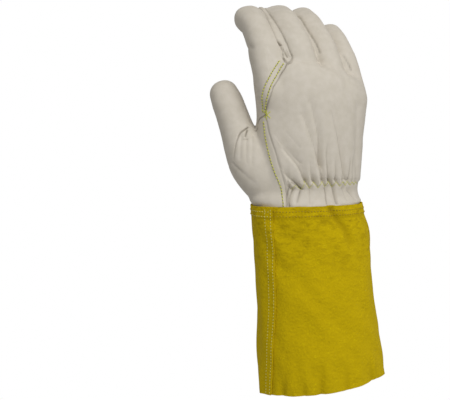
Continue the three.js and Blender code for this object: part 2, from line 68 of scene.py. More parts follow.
FINGERS = {
    "index": {
        "knuckle": (-31.6, -1.4, 103), "bones": (46, 27, 16.5), "bends": (18, 28, 20), "lean": -8.3,
        "width": 28.8, "depth": 27, "widths": (0.5, 1.04, 1.07, 0.96, 0.87, 0.95),
    },
    "middle": {
        "knuckle": (-0.8, -3.5, 105), "bones": (46.5, 30, 17), "bends": (20, 30, 22), "lean": -9.3,
        "width": 30.4, "depth": 27, "widths": (0.5, 1, 1.03, 0.98, 0.94, 0.98),
    },
    "ring": {
        "knuckle": (31, 1.5, 101), "bones": (49.5, 29, 18), "bends": (21, 28, 20), "lean": -13.3,
        "width": 26.6, "depth": 26, "widths": (0.5, 1, 1.03, 0.98, 0.96, 0.98),
    },
    "little": {
        "knuckle": (52.3, 12, 93), "bones": (42, 22, 15), "bends": (18, 24, 18), "lean": -9.5,
        "width": 23.2, "depth": 24, "widths": (0.12, 1.1, 1.06, 0.98, 0.98, 1.0),
    },
}
FINGER_DEPTHS = {"along": (-0.3, 0, 0.4, 0.58, 0.75, 1), "depth": (0.4, 0.89, 1, 0.96, 0.92, 0.87)}
FINGER_ROOT = 22
FINGER_SQUARE = 2.4
JOINT_BEND_LENGTH = 12
TIP_ROUND = 0.97  # the share of a quarter turn that a tip is rounded by before its cap closes it
THUMB_ROWS = [  # x, y, z, half width, half depth
    (-23, 4, 14, 23, 21),
    (-37.6, 7, 26.4, 23.8, 21),
    (-49, 11, 40, 22, 19.5),
    (-55.5, 16, 54, 18.6, 17.5),
    (-59.6, 22, 68, 15.8, 15.2),
    (-63.2, 28, 83, 15, 14),
    (-66.5, 33, 95, 14.6, 13),
    (-68.9, 36.5, 102.5, 13.3, 12),
]
THUMB_SQUARE = 2.3
STRIP_ROWS = [  # the face of the strip between the index and middle fingers: x, y, z, half width
    (-20, -7, 131.3, 0.5),
    (-20, -5, 132.9, 3.2),
    (-20, -2.5, 135.7, 4.5),
    (-20.7, 0.8, 142.5, 2.9),
    (-23.2, 4.6, 150, 3.5),
    (-24.7, 9.5, 156, 3.9),
    (-25, 18, 162.5, 3.2),
    (-25.2, 26, 168, 2.3),
    (-25.4, 34, 172.7, 1.6),
    (-25.6, 43, 177.4, 1.6),
    (-26.4, 51, 182, 2.2),
    (-26.4, 58, 183, 2.2),
]
STRIP_FILLING = {"margin": 1.5, "depth": 3.5, "square": 3}
STRIP_FACES = 0.25  # the most that a point of the strip's face may face the palm
STRIP_RIM = {"stands_out": 0.6, "inside": 1.3, "width": 0.9, "top": 146, "fades": 8}
# The darkness here is painted shade: the slit's line, the nick and the shadow under the strip's rolled lower
# end.
STRIP_CREASES = [  # x, y and z, depth at the two ends, width to the right and left, darkness
    ([(-20, -2, 135.8), (-23, 0.8, 142.5), (-26.6, 4.8, 149.9), (-28.3, 9.5, 156), (-27.4, 26, 168)],
     (1.3, 0.5), (0.8, 0.6), 0.35),
    ([(-24.2, 3, 147), (-26.8, 5, 150)], (1.4, 1.4), (0.8, 0.8), 0.7),
    ([(-23.9, -1.5, 134.4), (-22.7, -6.6, 131.5), (-20.1, -7.5, 131.1), (-16.8, -4.3, 133.5),
      (-16, -2.3, 137.1)], (0.9, 0.7), (0.5, 0.5), 0.6),
    ([(-16, -2.3, 137.1), (-18.2, 0.4, 143.4), (-20, 4.3, 150.7), (-22.1, 18.2, 162.5), (-23.2, 26.4, 168),
      (-24, 40, 175)], (0.3, 0.3), (0.5, 0.4), 0.3),
]
WRIST_OPENING = -12
SKIN_STEP = 1.3
SOFT_AREAS = [  # where fingers run into the hand: low corner, high corner, the most a point may face the palm
    ((-22, -40, 98), (64, 8, 130), 0),
    ((48, -40, 56), (80, 40, 106), 0.7),
]
SOFT_ROUNDS = 50


def smooth(t):
    t = np.clip(t, 0, 1)
    return t * t * (3 - 2 * t)


def between(rows, at):
    """A row of a table between its rows, on a smooth curve through them."""
    rows = np.asarray(rows, float)
    i = int(min(max(at, 0), len(rows) - 1.001))
    t = at - i
    before, low, high, after = (rows[min(max(i + k, 0), len(rows) - 1)] for k in (-1, 0, 1, 2))
    bend = 2 * before - 5 * low + 4 * high - after + t * (3 * (low - high) + after - before)
    return low + 0.5 * t * (high - before + t * bend)


def outline(angle, half_width, to_back, to_palm, square):
    """A point of a rounded section, as distances across it and toward the palm."""
    c, s = math.cos(angle), math.sin(angle)
    depth = to_palm if s > 0 else to_back
    return (
        half_width * math.copysign(abs(c) ** (2 / square), c),
        depth * math.copysign(abs(s) ** (2 / square), s),
    )


def hand_point(angle, share):
    z, x, y, half_width, to_back, to_palm, square, tilt, drop, cup = between(
        HAND_ROWS, share * (len(HAND_ROWS) - 1))
    u, v = outline(angle, half_width, to_back, to_palm, square)
    tilt, drop = math.radians(tilt), math.radians(drop)
    v += cup * (u / half_width) ** 2
    return Vector((
        x + u * math.cos(drop), y + v * math.cos(tilt), z - u * math.sin(drop) - v * math.sin(tilt),
    ))


def finger_stations(finger):
    """Centre, direction and crosswise direction at every millimetre along a finger."""
    first, second, third = finger["bones"]
    joints = (0, first, first + second)
    end = first + second + third
    lean = math.radians(finger["lean"])

    def direction(s):
        bend = math.radians(sum(
            turn * smooth((s - joint) / JOINT_BEND_LENGTH + 0.5)
            for joint, turn in zip(joints, finger["bends"])))
        return Vector((
            math.sin(lean) * math.cos(bend), math.sin(bend), math.cos(lean) * math.cos(bend),
        ))

    across = Vector((math.cos(lean), 0, -math.sin(lean)))
    centre = Vector(finger["knuckle"]) - direction(-FINGER_ROOT) * FINGER_ROOT
    stations = []
    for s in np.arange(-FINGER_ROOT, end + 0.5, 1.0):
        stations.append((*centre, *direction(s), *across))
        centre = centre + direction(s + 0.5)
    return stations, end


def finger_surface(finger):
    """The finger's surface, as a function of an angle round it and a length from its knuckle."""
    stations, end = finger_stations(finger)

    def point(angle, s):
        row = between(stations, min(s, end) + FINGER_ROOT)
        centre, along, across = (Vector(row[i:i + 3]) for i in (0, 3, 6))
        share = min(s, end) / end
        along_it = FINGER_DEPTHS["along"]
        half_width = finger["width"] / 2 * np.interp(share, along_it, finger["widths"])
        half_depth = finger["depth"] / 2 * np.interp(share, along_it, FINGER_DEPTHS["depth"])
        over = max(s - end, 0) / half_depth
        u, v = outline(angle, half_width, half_depth, half_depth, FINGER_SQUARE)
        u, v = u * math.cos(over), v * math.cos(over)
        return centre + along * (half_depth * math.sin(over)) + across * u + along.cross(across) * v

    return point, end


def limb_point(rows, square, angle, s):
    """The surface of a limb, whose rows hold x, y, z, half width and half depth. Past the last row s goes on
    round the tip, at half a quarter turn for each 1."""
    last = len(rows) - 1
    at = min(s, last)
    x, y, z, half_width, half_depth = between(rows, at)
    ahead, behind = (between(rows, min(max(at + k, 0), last))[:3] for k in (0.1, -0.1))
    along = Vector(ahead - behind).normalized()
    toward = (Vector((0, 1, 0)) - along * along.y).normalized()
    over = max(s - last, 0) * math.pi / 4
    u, v = outline(angle, half_width, half_depth, half_depth, square)
    u, v = u * math.cos(over), v * math.cos(over)
    return (
        Vector((x, y, z)) + along * (half_depth * math.sin(over))
        + toward.cross(along) * u + toward * v
    )


def thumb_point(angle, share):
    return limb_point(THUMB_ROWS, THUMB_SQUARE, angle, share * (len(THUMB_ROWS) - 1 + 2 * TIP_ROUND))


def strip_point(angle, share):
    """The filling under the strip's face, which is as wide as the strip and a little more."""
    margin, depth, square = (STRIP_FILLING[size] for size in ("margin", "depth", "square"))
    rows = [(*row[:3], row[3] + margin, depth) for row in STRIP_ROWS[1:]]
    at = share * (len(rows) - 1)
    ahead, behind = (between(rows, min(max(at + k, 0), len(rows) - 1))[:3] for k in (0.1, -0.1))
    along = Vector(ahead - behind).normalized()
    toward = (Vector((0, 1, 0)) - along * along.y).normalized()
    return limb_point(rows, square, angle, at) + toward * depth


def tube(sides, rings, place):
    """A closed tube. The function place is given each point's angle round it and its share of the way along
    it, and says where the point lies."""
    bm = bmesh.new()
    bmesh.ops.create_cone(bm, cap_ends=True, segments=sides, radius1=1, radius2=1, depth=1)
    lengthwise = [e for e in bm.edges if abs(e.verts[0].co.z - e.verts[1].co.z) > 0.5]
    bmesh.ops.subdivide_edges(bm, edges=lengthwise, cuts=rings - 2)
    for v in bm.verts:
        v.co = place(math.atan2(v.co.y, v.co.x), v.co.z + 0.5)
    bmesh.ops.recalc_face_normals(bm, faces=bm.faces)
    return bm


def finger_tube(finger):
    point, end = finger_surface(finger)
    tip = TIP_ROUND * math.pi / 2 * finger["depth"] / 2 * FINGER_DEPTHS["depth"][-1]
    length = FINGER_ROOT + end + tip
    return tube(sides=40, rings=60, place=lambda angle, share: point(angle, share * length - FINGER_ROOT))


def joined(parts):
    """One mesh of several, each of which is used up."""
    whole = bmesh.new()
    for part in parts:
        mesh = bpy.data.meshes.new("part")
        part.to_mesh(mesh)
        part.free()
        whole.from_mesh(mesh)
        bpy.data.meshes.remove(mesh)
    return whole


def inside(point, low, high):
    return all(a < c < b for a, c, b in zip(low, point, high))


def smoothed(bm, verts, rounds):
    for _ in range(rounds):
        bmesh.ops.smooth_vert(bm, verts=verts, factor=0.5, use_axis_x=True, use_axis_y=True, use_axis_z=True)


def modified(bm, *modifiers):
    """The mesh once the modifiers, each a type and its settings, have been at work on it."""
    mesh = bpy.data.meshes.new("work")
    bm.to_mesh(mesh)
    bm.free()
    work = bpy.data.objects.new("work", mesh)
    bpy.context.scene.collection.objects.link(work)
    for kind, settings in modifiers:
        modifier = work.modifiers.new(kind.lower(), kind)
        for name, value in settings.items():
            setattr(modifier, name, value)
    evaluated = work.evaluated_get(bpy.context.evaluated_depsgraph_get())
    done = bpy.data.meshes.new_from_object(evaluated)
    bpy.data.objects.remove(work)
    bpy.data.meshes.remove(mesh)
    result = bmesh.new()
    result.from_mesh(done)
    bpy.data.meshes.remove(done)
    return result


skin = modified(
    joined([
        tube(sides=96, rings=90, place=hand_point),
        *[finger_tube(finger) for finger in FINGERS.values()],
        tube(sides=40, rings=60, place=thumb_point),
        tube(sides=24, rings=40, place=strip_point),
    ]),
    ("REMESH", {"mode": "VOXEL", "voxel_size": SKIN_STEP}),
    ("SMOOTH", {"factor": 0.5, "iterations": 20}),
)
bmesh.ops.bisect_plane(
    skin, geom=[*skin.verts, *skin.edges, *skin.faces], dist=0.01,
    plane_co=(0, 0, WRIST_OPENING), plane_no=(0, 0, -1), clear_outer=True)
skin.normal_update()
for low, high, facing in SOFT_AREAS:
    smoothed(skin, [v for v in skin.verts if v.normal.y < facing and inside(v.co, low, high)], SOFT_ROUNDS)


# The folds
# Elastic sewn across the inside of the wrist draws the back up into puffed folds over a zigzag line of
# stitches. Creases run up from it, the thumb is pleated where it is set in, and the palm and the fingers
# crease as they bend. Painted shade darkens the crease lines and the puffs beside the zigzag.
FINE_AREAS = [  # low corner, high corner; the skin's faces are halved there once for each
    ((-34, -40, 4), (52, 2, 52)),
    ((-34, -40, 13), (52, 2, 26)),
    ((-46, -40, -2), (-34, 2, 58)),
    ((-48, -40, 58), (-20, 2, 126)),
    ((-32, -30, 126), (-8, 30, 176)),
    ((-76, -30, 34), (-48, 22, 80)),
    ((-70, -30, 60), (-50, 14, 75)),
]
ZIGZAG = [  # x and z of its points, a peak and a bottom in turn
    (-25.9, 19.7), (-22.1, 16.8), (-19.1, 21.3), (-13.2, 16.7), (-10.3, 24.8), (-5.7, 17.5), (-1.9, 23.7),
    (2, 18.3), (6.2, 23.8), (9.1, 18.5), (12.9, 23.8), (16.7, 18.6), (20.4, 23.4), (23.9, 18.7), (27.5, 23),
    (30.4, 18.7), (33, 22.7), (36.2, 18.7), (38.2, 22.3), (41.4, 18.7), (43.5, 21.7), (46.4, 18.7),
    (49, 21.5),
]
PUFF = {
    "low_end": 20, "stands_out": 2.2, "left_rise": 2.6, "right_rise": 0.9, "reach_up": 12,
    "hangs": 0.8, "leans": 0.4, "hang_reach": 3,
}
# Painted shade on the puffs' lower-left flanks above the zigzag and just below it.
PUFF_SHADE = {"above": (0.38, 1.1), "below": (0.3, 0.5)}  # darkness and width beside the zigzag
ELASTIC = {"left_end": -27, "fades": 4, "top": 90, "faces": 0.05, "turns_away": 0.3}
# Creases: x and z from the low end up, depth at the two ends (below zero for a ridge), width to the right and
# to the left, darkness
# In the crease tables the darkness is painted shade along the crease line.
BACK_CREASES = [
    ([(-13, 17.1), (-21, 24.9), (-25.4, 28.6), (-29.1, 33)], (2.2, 0.5), (3, 0.9), 0.4),
    ([(-10.7, 24.8), (-17.3, 39.4), (-24.9, 48.4), (-29, 54.6)], (3.7, 0.8), (6.1, 1.1), 0.12),
    ([(-14.9, 41.2), (-20.7, 47.5), (-28.1, 57.4)], (0.7, 0.1), (1.8, 0.7), 0.4),
    ([(-2.9, 24.7), (-4.8, 32), (-5.6, 42)], (2.6, 0.4), (3.5, 1.1), 0.12),
    ([(4, 39), (-0.4, 52.6), (-5.6, 68.9), (-11, 84.3)], (2.6, 1.5), (4.0, 1.3), 0.1),
    ([(6.3, 25.2), (3.2, 43.5), (3.5, 61.6), (0.4, 79.7), (-2.9, 95.9)], (3.8, 1.5), (3.3, 1.8), 0.1),
    ([(13, 24.2), (11.6, 34.3), (10.8, 48.8), (12, 60)], (3.5, 0.6), (4.0, 1.1), 0.15),
    ([(19.9, 24.9), (19.7, 34), (19, 43)], (2.7, 0.4), (3.5, 1.1), 0.15),
    ([(29, 25.1), (26.3, 42.7), (23.3, 59.3), (16.8, 86.6)], (4.1, 1.1), (4.4, 1.2), 0.1),
    ([(34.2, 23.9), (35.2, 33.1), (36.4, 45)], (2.3, 0.4), (2.9, 0.9), 0.15),
    ([(39.1, 23.6), (39.1, 32.8), (40.4, 45)], (2.3, 0.4), (2.9, 0.9), 0.15),
    ([(44, 23), (43.4, 40), (43.8, 73), (45.3, 91)], (1.8, 1.1), (3.3, 3), 0.05),
    ([(-14.6, 55.6), (-17.9, 59.2), (-26.1, 69.1)], (0.5, 0.1), (1.5, 0.7), 0.5),
    ([(-27.5, 2), (-27, 11), (-24.5, 19)], (3.2, 2.8), (3.1, 1.6), 0.2),
    ([(-25.3, 9.8), (-21.2, 16.8)], (0.8, 2.2), (1.8, 0.9), 0.3),
    ([(-18.8, 6.3), (-14.7, 15.7)], (0.8, 2.5), (1.0, 2.6), 0.25),
    ([(-6.5, 5), (-5.6, 16)], (0.8, 1.7), (2.8, 1.5), 0.15),
    ([(9.9, 4.3), (10.3, 11.4), (9.3, 17.1)], (2.4, 2.5), (4.0, 1), 0.2),
    ([(19.8, 3.9), (18.9, 10.1), (17.3, 17.7)], (2.4, 2.1), (1.3, 3), 0.2),
    ([(31, 6), (27.5, 16)], (0.8, 1.5), (2.6, 1), 0.1),
    ([(42.1, 5), (34.1, 13.6)], (0.8, 1.7), (2.2, 0.9), 0.2),
    ([(14.5, 131.4), (12.2, 127.1), (9.5, 121)], (0.5, 0.2), (2.4, 2.4), 0.05),
    ([(43.5, 122), (40.4, 117.6), (37, 110)], (0.5, 0.2), (2.4, 2.4), 0.05),
    ([(33.9, 117.8), (32.8, 106), (36.7, 97), (38, 80.6)], (1.2, 0.4), (3.9, 3.5), 0.05),
    ([(-40, 126), (-42, 108), (-41, 88), (-37, 62), (-31, 40)], (-1.6, -1.2), (13, 5), 0),
]
SIDE_CREASES = [  # with x, y and z
    ([(-68.6, 2.8, 43), (-67.9, 2.6, 54.9), (-65.5, 3.6, 62.1), (-62.2, 5.1, 67.4), (-54.4, 7.2, 72.1)],
     (0.3, 1.3), (0.7, 0.5), 0.6),
    ([(-58.4, 2.5, 64.7), (-55.5, 5.7, 69.9)], (1.0, 1.6), (0.7, 0.7), 0.5),
    ([(-60.8, 1.5, 62), (-57, 1.5, 61.4)], (0.4, 0.5), (0.5, 0.5), 0.6),
    ([(-64.3, -1.8, 45.1), (-63.3, 0, 55.9), (-61.4, 3, 63.8)], (0.4, 1.1), (1.6, 1.8), 0.15),
    ([(-59.6, -5.8, 41.7), (-58.7, -2, 54.1), (-57.3, 1, 62.1)], (0.4, 1.3), (1.6, 1.8), 0.15),
    ([(-55.2, -7.8, 39), (-53.6, -4, 52.3), (-51.1, 2.2, 64.6)], (0.3, 1.0), (1.6, 1.8), 0.1),
    ([(-69.1, 4.1, 40.2), (-63.4, -3.7, 32.5), (-58.6, -6.4, 28.1), (-53, -9.7, 23.2)],
     (0.8, 0.3), (2.0, 0.9), 0.1),
    ([(-46, 8, 67.5), (-45.2, 6, 70), (-45, 4.5, 72.5)], (1.8, 0.8), (1, 1), 0.5),
    ([(-44.8, 4.3, 76), (-44.1, 1.8, 80), (-42.9, -1.9, 82), (-40.8, -5.4, 84)], (0.9, 0.8), (0.6, 0.6), 0.9),
    ([(-52.4, 10.5, 145.6), (-51, 6.5, 145), (-49, 3.5, 144.6)], (1.6, 0.3), (2.2, 2.2), 0.1),
    ([(14.5, 5.2, 139.6), (11.5, 10.6, 149.7), (8.7, 22, 159.7), (6.5, 38.1, 171.9), (1.5, 46, 178.5)],
     (0.8, 0.8), (0.7, 0.7), 0.6),
    ([(47.2, 10, 123.5), (45.7, 11.3, 128.3), (43.5, 13.4, 132.9), (41.4, 15.9, 137.5)],
     (0.9, 0.3), (0.8, 0.8), 0.7),
]
PALM_CREASES = [  # x and z on the palm side
    ([(62, 103), (50, 102), (38, 106)], (1.6, 1.2), (1.0, 2.6), 0.3),
    ([(36, 107), (24, 112), (12, 109)], (1.8, 1.4), (1.0, 2.8), 0.3),
    ([(10, 110), (-2, 114), (-14, 112)], (1.4, 1.1), (1.0, 2.6), 0.3),
    ([(8, 96), (4, 66), (2, 44)], (1.6, 0.7), (5, 8), 0.05),
    ([(-12, 98), (-15, 76), (-14, 58)], (1.3, 0.5), (4, 6), 0.05),
    ([(26, 98), (24, 70), (28, 46)], (1.2, 0.6), (4, 7), 0.05),
    ([(40, 92), (39, 72)], (0.9, 0.4), (3, 5), 0.05),
    ([(-46, 74), (-40, 56), (-32, 38), (-22, 24)], (1.0, 1.8), (2.5, 5), 0.08),
    ([(-20, 13), (-34, 16), (-47, 22)], (0.8, 0.4), (0.9, 2), 0.25),
    ([(-26, 7), (-42, 9)], (0.7, 0.3), (0.9, 2), 0.25),
]
# The dark values and the crease's dark line below are painted shade.
JOINT_CREASE = {"depth": (1.0, 1.0), "width": (0.9, 2.4), "dark": 0.25}
JOINT_CREASE_TURN = (25, 155)
ZIGZAG_CREASE = {"depth": (0.3, 1.2), "width": (1.9, 0.6), "dark": 0.3}
ZIGZAG_CREASE_OVER = 0.55
FOLD_LINE = 0.7  # width of the dark line in a crease
CLEAR_OF_HAND = 120
HIDE_WAVES = [(0.25, 26, (0, 0, 0)), (0.1, 9, (7, 3, 5))]  # height, length, shift


def curve_through(points, count=24):
    """Even steps along a smooth curve through a few points."""
    points = np.asarray(points, float)
    if len(points) == 2:
        return np.linspace(points[0], points[1], count)
    return np.array([between(points, at) for at in np.linspace(0, len(points) - 1, count)])


def on_surface(trees, points, from_back=True):
    """Points of a path dropped onto surfaces: x and z straight from the back or the palm, or x, y, z."""
    found = []
    for point in points:
        if len(point) == 2:
            start = Vector((point[0], -CLEAR_OF_HAND if from_back else CLEAR_OF_HAND, point[1]))
            spot = trees[0].ray_cast(start, Vector((0, 1 if from_back else -1, 0)))[0]
        else:
            spot = min((tree.find_nearest(Vector(point)) for tree in trees), key=lambda hit: hit[3])[0]
        if spot is not None:
            found.append(spot)
    return np.array(found)


def near_line(points, line, outward=None):
    """For each point, its distance to a line of short steps, the share of the way along that is nearest, and
    above zero where it lies to the right of the line, seen from outside."""
    distance = np.full(len(points), np.inf)
    share, side = np.zeros(len(points)), np.zeros(len(points))
    steps = len(line) - 1
    for i in range(steps):
        a, along = line[i], line[i + 1] - line[i]
        t = np.clip((points - a) @ along / max(along @ along, 1e-9), 0, 1)
        off = points - a - t[:, None] * along
        away = np.linalg.norm(off, axis=1)
        closer = away < distance
        distance[closer] = away[closer]
        share[closer] = (i + t[closer]) / steps
        if outward is not None:
            side[closer] = np.sum(np.cross(off, along) * outward, axis=1)[closer]
    return distance, share, side


def press(line, depth, width, dark):
    """Presses a crease in along a line. It widens as it goes, and its right side is the steep one. It also
    paints shade along the line, kept on the points.
    """
    reach = 5 * max(width)
    near = np.flatnonzero(np.all((base > line.min(0) - reach) & (base < line.max(0) + reach), axis=1))
    distance, share, side = near_line(base[near], line, normals[near])
    wide = np.where(side > 0, *width) * (1 + 0.5 * share)
    deep = depth[0] + (depth[1] - depth[0]) * share
    pressed[near] += deep * np.exp(-(distance / wide) ** 1.5)
    painted_shade[near] = np.maximum(painted_shade[near], dark * deep * np.exp(-(distance / FOLD_LINE) ** 2))


def halve_faces(bm, low, high, facing=0.25, rounds=3):
    """Halves the faces in a box that don't face the palm, and smooths them again."""
    faces = [f for f in bm.faces if f.normal.y < facing and inside(f.calc_center_median(), low, high)]
    edges = list({e for f in faces for e in f.edges})
    bmesh.ops.subdivide_edges(bm, edges=edges, cuts=1, use_grid_fill=True)
    smoothed(bm, [v for v in bm.verts if inside(v.co, low, high)], rounds)


for low, high in FINE_AREAS:
    halve_faces(skin, low, high)
skin.normal_update()
skin.verts.ensure_lookup_table()
base = np.array([v.co for v in skin.verts])
normals = np.array([v.normal for v in skin.verts])
base_tree = BVHTree.FromBMesh(skin)

pressed = np.zeros(len(base))
painted_shade = np.zeros(len(base))
for path, depth, width, dark in BACK_CREASES + SIDE_CREASES:
    press(on_surface([base_tree], curve_through(path)), depth, width, dark)
for peak, low in zip(ZIGZAG[2:18:2], ZIGZAG[3:18:2]):
    peak, low = np.array(peak), np.array(low)
    over = peak + (peak - low) * ZIGZAG_CREASE_OVER
    press(on_surface([base_tree], np.linspace(low, over, 12)), **ZIGZAG_CREASE)
for path, depth, width, dark in PALM_CREASES:
    press(on_surface([base_tree], curve_through(path), from_back=False), depth, width, dark)
for finger in FINGERS.values():
    surface, _ = finger_surface(finger)
    for joint in np.cumsum(finger["bones"][:2]):
        path = [surface(angle, joint) for angle in np.radians(np.linspace(*JOINT_CREASE_TURN, 16))]
        press(on_surface([base_tree], path), **JOINT_CREASE)

# The strip between the index and middle fingers starts as a rolled loop over the end of the fork's slit
strip_line = on_surface([base_tree], curve_through([row[:3] for row in STRIP_ROWS], 60))
strip_widths = [row[3] for row in STRIP_ROWS]
strip_away, share, _ = near_line(base, strip_line)
strip_away -= np.interp(share * (len(STRIP_ROWS) - 1), range(len(STRIP_ROWS)), strip_widths)
strip_away[normals[:, 1] > STRIP_FACES] = STRIP_FILLING["depth"] * 2
on_rim = np.exp(-((strip_away + STRIP_RIM["inside"]) / STRIP_RIM["width"]) ** 2)
rim = STRIP_RIM["stands_out"] * on_rim * smooth((STRIP_RIM["top"] - base[:, 2]) / STRIP_RIM["fades"])
for path, depth, width, dark in STRIP_CREASES:
    press(on_surface([base_tree], curve_through(path)), depth, width, dark)

# The puffed folds hang over the zigzag, roundest on their left, and painted shade lies on their lower-left
# flanks and just below the zigzag
flat = base[:, [0, 2]]
left_away, right_away = (
    np.min([near_line(flat, np.linspace(a, b, 2))[0] for a, b in zip(ZIGZAG[k::2], ZIGZAG[k + 1::2])], axis=0)
    for k in (0, 1))
above = base[:, 2] > np.interp(base[:, 0], *np.transpose(ZIGZAG))
on_elastic = smooth((ELASTIC["faces"] - normals[:, 1]) / ELASTIC["turns_away"])
on_elastic *= smooth((base[:, 0] - ELASTIC["left_end"]) / ELASTIC["fades"]) * (base[:, 2] < ELASTIC["top"])
up = np.maximum(base[:, 2] - PUFF["low_end"], 0)
clear = 1 - np.exp(-(left_away / PUFF["left_rise"]) ** 1.5)
clear *= 1 - np.exp(-(right_away / PUFF["right_rise"]))
puff = on_elastic * above * clear * PUFF["stands_out"] * np.exp(-up / PUFF["reach_up"])
hang = on_elastic * above * clear * np.exp(-up / PUFF["hang_reach"])
shade_above, shade_below = (
    darkness * np.exp(-(left_away / width) ** 2)
    for darkness, width in (PUFF_SHADE["above"], PUFF_SHADE["below"]))
painted_shade = np.maximum(painted_shade, on_elastic * np.where(above, shade_above, shade_below))

# No hide lies quite flat: slow waves all over
waves = np.array([
    sum(height * noise.noise(Vector(p) / length + Vector(shift)) for height, length, shift in HIDE_WAVES)
    for p in base])
shaped = base + normals * (rim + puff - pressed + waves)[:, None]
shaped[:, 0] -= hang * PUFF["leans"]
shaped[:, 2] -= hang * PUFF["hangs"]
painted_shade = np.clip(painted_shade, 0, 1)


# The seams
# The panels are cut from the skin where the frame's solids meet, and sewn edge to edge. Down the back, from
# the fork of the index and middle fingers, the palm's leather laps over the back's, held by rows of stitches.
NODES = [
    "fourchette_index_middle", "fourchette_middle_ring", "fourchette_ring_little",
    "thumb", "back_panel", "palm_panel",
]
SNAP = 0.2  # a point nearer to a cut than this share of its edge moves onto the cut


def node_tree(name):
    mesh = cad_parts[name].data
    return BVHTree.FromPolygons([v.co / MM for v in mesh.vertices], [p.vertices[:] for p in mesh.polygons])


def evened(values, ends, times):
    """Values on the points, each drawn toward the mean of its neighbours."""
    a, b = ends[:, 0], ends[:, 1]
    count = np.bincount(ends.ravel(), minlength=len(values))
    for _ in range(times):
        total = np.bincount(a, values[b], len(values)) + np.bincount(b, values[a], len(values))
        values = (values + total / count) / 2
    return values


skin.verts.index_update()
ends = np.array([[v.index for v in e.verts] for e in skin.edges])
away = {}
for name in NODES:
    tree = node_tree(name)
    away[name] = np.array([tree.find_nearest(p)[3] for p in base])
layers = {}
for name in NODES:
    nearest_other = np.min([away[other] for other in NODES if other != name], axis=0)
    layers[name] = evened(away[name] - nearest_other, ends, times=6)
strip = "fourchette_index_middle"
for name in NODES:
    if name != strip:
        layers[name] = np.maximum(layers[name], -strip_away)
layers[strip] = np.minimum(layers[strip], strip_away)
layers["painted_shade"] = painted_shade
layers["lap"] = evened(away["back_panel"], ends, times=3)
for name, values in layers.items():
    layer = skin.verts.layers.float.new(name)
    for v, value in zip(skin.verts, values):
        v[layer] = value
for v, spot in zip(skin.verts, shaped):
    v.co = spot


def cut_along(bm, layer):
    """Runs new edges through the faces along the line where a value kept on the points passes zero."""
    met = {}
    for edge in bm.edges:
        a, b = edge.verts
        if a[layer] * b[layer] < 0:
            share = a[layer] / (a[layer] - b[layer])
            if share < SNAP or share > 1 - SNAP:
                met.setdefault(a if share < SNAP else b, []).append(a.co.lerp(b.co, share))
    for vert, spots in met.items():
        vert.co = sum(spots, Vector()) / len(spots)
        vert[layer] = 0
    for edge in [e for e in bm.edges if e.verts[0][layer] * e.verts[1][layer] < 0]:
        a, b = edge.verts
        _, new = bmesh.utils.edge_split(edge, a, a[layer] / (a[layer] - b[layer]))
        new[layer] = 0
    waiting = [f for f in bm.faces if sum(v[layer] == 0 for v in f.verts) > 1]
    while waiting:
        face = waiting.pop()
        signs = {v[layer] > 0 for v in face.verts if v[layer] != 0}
        on_line = [loop for loop in face.loops if loop.vert[layer] == 0]
        apart = [
            (p.vert, q.vert) for p in on_line for q in on_line
            if p.link_loop_next != q and q.link_loop_next != p and p != q
        ]
        if len(signs) == 2 and apart:
            new, _ = bmesh.utils.face_split(face, *apart[0])
            waiting += [face, new]


# The panels are numbered from 1, and the palm's faces, the ones that no cut takes, keep 0
panel_of = skin.faces.layers.int.new("panel")
for number, name in enumerate(NODES[:-1], 1):
    layer = skin.verts.layers.float[name]
    cut_along(skin, layer)
    for face in skin.faces:
        if face[panel_of] == 0 and sum(v[layer] for v in face.verts) < 0:
            face[panel_of] = number


def panel(number):
    """A copy of the skin with nothing but one panel's faces left."""
    bm = skin.copy()
    own = bm.faces.layers.int["panel"]
    bmesh.ops.delete(bm, geom=[f for f in bm.faces if f[own] != number], context="FACES")
    bm.normal_update()
    return bm


LEATHER_NAMES = {
    "fourchette_index_middle": "side_strip_index_middle",
    "fourchette_middle_ring": "side_strip_middle_ring",
    "fourchette_ring_little": "side_strip_ring_little",
    "thumb": "thumb_leather",
    "back_panel": "back_leather",
    "palm_panel": "palm_leather",
}
# In SEAM and LAP, line and dark paint shade along the seams' grooves, and a deeper painted shadow along the
# lap's edge.
SEAM = {"sinks": 0.5, "width": 1.0, "line": 0.55, "dark": 0.35}
LAP = {"stands_out": 0.8, "flat": 4, "fades": 9, "starts_over": 6, "dark": 0.5, "faces": 0.2}
LAP_AREA = ((-60, -60, 82), (-18, 70, 132))
QUIET_PANELS = ("fourchette_middle_ring", "fourchette_ring_little")
QUIET_AREAS = [  # the thumb's base, the ring and little fingers: hardly a seam shows there from behind
    ((-99, -60, -20), (-48, 70, 75)),
    ((0, -60, 112), (99, 70, 190)),
]
QUIET_TURN = 0.4
LEATHER_WALL = 1.3
SHARP_ANGLE = math.radians(50)


def object_of(bm, name, material):
    """A mesh as an object of the scene, with its material."""
    mesh = bpy.data.meshes.new(name)
    bm.to_mesh(mesh)
    bm.free()
    mesh.materials.append(material)
    made = bpy.data.objects.new(name, mesh)
    bpy.context.scene.collection.objects.link(made)
    return made


def walled(bm, name, wall, material):
    """The outer face of a piece, in millimetres, made a wall of leather in metres."""
    done = modified(bm, ("SOLIDIFY", {"thickness": wall, "offset": -1}))
    bmesh.ops.scale(done, vec=(MM, MM, MM), verts=done.verts)
    piece = object_of(done, name, material)
    piece.data.shade_smooth()
    piece.data.set_sharp_from_angle(angle=SHARP_ANGLE)
    return piece


def feed(tree, socket, value):
    """Sets an input to a value, or joins it to another node's output."""
    if isinstance(value, bpy.types.NodeSocket):
        tree.links.new(value, socket)
    else:
        socket.default_value = value


def put(tree, kind, settings=None, *by_place, **by_name):
    """A node in a tree, its settings made and its inputs fed."""
    made = tree.nodes.new(kind)
    for name, value in (settings or {}).items():
        setattr(made, name, value)
    for name, value in [*enumerate(by_place), *by_name.items()]:
        feed(tree, made.inputs[name if isinstance(name, int) else name.replace("_", " ")], value)
    return made


